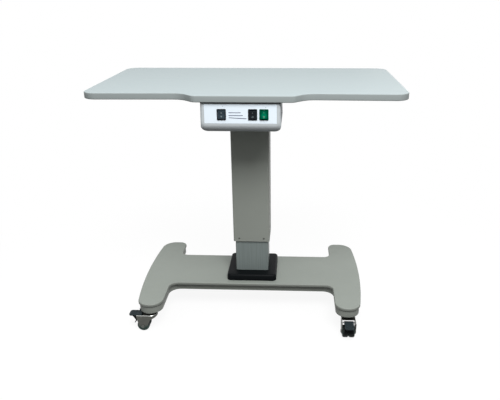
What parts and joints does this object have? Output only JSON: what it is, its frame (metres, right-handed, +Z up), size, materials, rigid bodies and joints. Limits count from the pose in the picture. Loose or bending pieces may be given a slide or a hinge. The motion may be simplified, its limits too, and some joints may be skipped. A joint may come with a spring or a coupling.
{
  "type": "electric treatment table",
  "caption": "Motorised instrument table: wide top with a bulged front edge, switch box below it, telescopic lifting column, H-shaped base on braked twin-wheel casters.",
  "frame": {"origin": "on the floor, under the middle of the table's bounding box; the column's axis stands 9.5 mm behind it", "axes": "+Z up, +X along the table's width to the sitter's right, -Y towards the sitter, where the control box is"},
  "size_m": [0.93, 0.564, 0.785],
  "materials": {
    "foil_board": "fibreboard wrapped in pale blue-grey matt foil",
    "grey_paint": "satin grey powder coat",
    "base_cover": "moulded cover, painted satin grey",
    "box_paint": "pale grey satin paint",
    "faceplate": "printed white plastic sheet",
    "black_plastic": "moulded black plastic",
    "motor_black": "black painted steel",
    "green_lens": "translucent green, lit from behind",
    "steel": "plain rolled steel",
    "zinc": "pressed steel, dark zinc plating",
    "bronze": "machined bronze",
    "wheel_polymer": "dark polymer tread",
    "circuit_board": "green solder mask"
  },
  "bodies": {
    "base": {"base_cover": "base_cover", "base_frame": "grey_paint", "foot_plate": "steel", "column_collar": "black_plastic", "inner_column": "grey_paint", "upper_glide_ring": "black_plastic", "push_tube": "steel", "spindle_nut": "bronze", "front_left_swivel_head": "zinc", "front_right_swivel_head": "zinc", "rear_left_swivel_head": "zinc", "rear_right_swivel_head": "zinc"},
    "lift": {"tabletop": "foil_board", "top_plate": "steel", "outer_column": "grey_paint", "lower_glide_ring": "black_plastic", "gearmotor": "motor_black", "glide_screw_front_left": "zinc", "glide_screw_front_right": "zinc", "glide_screw_rear_left": "zinc", "glide_screw_rear_right": "zinc", "control_box": "box_paint", "control_box_lid": "motor_black", "faceplate": "faceplate", "up_down_switch": "black_plastic", "outlet_switch": "black_plastic", "mains_switch": "black_plastic", "mains_inlet": "black_plastic", "power_supply": "steel", "control_board": "circuit_board"},
    "spindle": {"lift_spindle": "steel"},
    "up_down_rocker": {"up_down_rocker": "black_plastic"},
    "outlet_rocker": {"outlet_rocker": "black_plastic"},
    "mains_rocker": {"mains_rocker": "green_lens"},
    "front_left_fork": {"front_left_fork": "zinc", "front_left_axle": "zinc", "front_left_pedal_pin": "zinc"},
    "front_left_wheel_a": {"front_left_wheel_a": "wheel_polymer"},
    "front_left_wheel_b": {"front_left_wheel_b": "wheel_polymer"},
    "front_left_pedal": {"front_left_brake_pedal": "black_plastic"},
    "front_right_fork": {"front_right_fork": "zinc", "front_right_axle": "zinc", "front_right_pedal_pin": "zinc"},
    "front_right_wheel_a": {"front_right_wheel_a": "wheel_polymer"},
    "front_right_wheel_b": {"front_right_wheel_b": "wheel_polymer"},
    "front_right_pedal": {"front_right_brake_pedal": "black_plastic"},
    "rear_left_fork": {"rear_left_fork": "zinc", "rear_left_axle": "zinc"},
    "rear_left_wheel_a": {"rear_left_wheel_a": "wheel_polymer"},
    "rear_left_wheel_b": {"rear_left_wheel_b": "wheel_polymer"},
    "rear_right_fork": {"rear_right_fork": "zinc", "rear_right_axle": "zinc"},
    "rear_right_wheel_a": {"rear_right_wheel_a": "wheel_polymer"},
    "rear_right_wheel_b": {"rear_right_wheel_b": "wheel_polymer"}
  },
  "joints": [
    {"name": "lift", "type": "slide", "parent": "base", "child": "lift", "axis": [0, 0, 1], "range_m": [-0.11, 0.09]},
    {"name": "spindle_turn", "type": "hinge", "parent": "lift", "child": "spindle", "pos_m": [0, 0.0095, 0.5], "axis": [0, 0, 1], "range_deg": [-4960, 4060]},
    {"name": "up_down_press", "type": "hinge", "parent": "lift", "child": "up_down_rocker", "pos_m": [-0.061, -0.2379, 0.7315], "axis": [1, 0, 0], "range_deg": [-7, 7], "stiffness_Nm_per_rad": 0.25},
    {"name": "outlet_press", "type": "hinge", "parent": "lift", "child": "outlet_rocker", "pos_m": [0.0265, -0.2379, 0.7315], "axis": [1, 0, 0], "range_deg": [-14, 0]},
    {"name": "mains_press", "type": "hinge", "parent": "lift", "child": "mains_rocker", "pos_m": [0.058, -0.2379, 0.7315], "axis": [1, 0, 0], "range_deg": [0, 14]},
    {"name": "front_left_swivel", "type": "hinge", "parent": "base", "child": "front_left_fork", "pos_m": [-0.326, -0.212, 0.061], "axis": [0, 0, 1], "continuous": true},
    {"name": "front_left_roll_a", "type": "hinge", "parent": "front_left_fork", "child": "front_left_wheel_a", "pos_m": [-0.3495, -0.212, 0.02], "axis": [0, 1, 0], "continuous": true},
    {"name": "front_left_roll_b", "type": "hinge", "parent": "front_left_fork", "child": "front_left_wheel_b", "pos_m": [-0.3495, -0.212, 0.02], "axis": [0, 1, 0], "continuous": true},
    {"name": "front_left_brake", "type": "hinge", "parent": "front_left_fork", "child": "front_left_pedal", "pos_m": [-0.3525, -0.212, 0.0545], "axis": [0, -1, 0], "range_deg": [0, 9]},
    {"name": "front_right_swivel", "type": "hinge", "parent": "base", "child": "front_right_fork", "pos_m": [0.326, -0.212, 0.061], "axis": [0, 0, 1], "continuous": true},
    {"name": "front_right_roll_a", "type": "hinge", "parent": "front_right_fork", "child": "front_right_wheel_a", "pos_m": [0.326, -0.2355, 0.02], "axis": [1, 0, 0], "continuous": true},
    {"name": "front_right_roll_b", "type": "hinge", "parent": "front_right_fork", "child": "front_right_wheel_b", "pos_m": [0.326, -0.2355, 0.02], "axis": [1, 0, 0], "continuous": true},
    {"name": "front_right_brake", "type": "hinge", "parent": "front_right_fork", "child": "front_right_pedal", "pos_m": [0.326, -0.2385, 0.0545], "axis": [1, 0, 0], "range_deg": [0, 9]},
    {"name": "rear_left_swivel", "type": "hinge", "parent": "base", "child": "rear_left_fork", "pos_m": [-0.326, 0.185, 0.061], "axis": [0, 0, 1], "continuous": true},
    {"name": "rear_left_roll_a", "type": "hinge", "parent": "rear_left_fork", "child": "rear_left_wheel_a", "pos_m": [-0.326, 0.2085, 0.02], "axis": [1, 0, 0], "continuous": true},
    {"name": "rear_left_roll_b", "type": "hinge", "parent": "rear_left_fork", "child": "rear_left_wheel_b", "pos_m": [-0.326, 0.2085, 0.02], "axis": [1, 0, 0], "continuous": true},
    {"name": "rear_right_swivel", "type": "hinge", "parent": "base", "child": "rear_right_fork", "pos_m": [0.326, 0.185, 0.061], "axis": [0, 0, 1], "continuous": true},
    {"name": "rear_right_roll_a", "type": "hinge", "parent": "rear_right_fork", "child": "rear_right_wheel_a", "pos_m": [0.326, 0.2085, 0.02], "axis": [1, 0, 0], "continuous": true},
    {"name": "rear_right_roll_b", "type": "hinge", "parent": "rear_right_fork", "child": "rear_right_wheel_b", "pos_m": [0.326, 0.2085, 0.02], "axis": [1, 0, 0], "continuous": true}
  ],
  "couplings": [
    {"joint": "spindle_turn", "follows": "lift", "rad_per_m": 785.4}
  ]
}
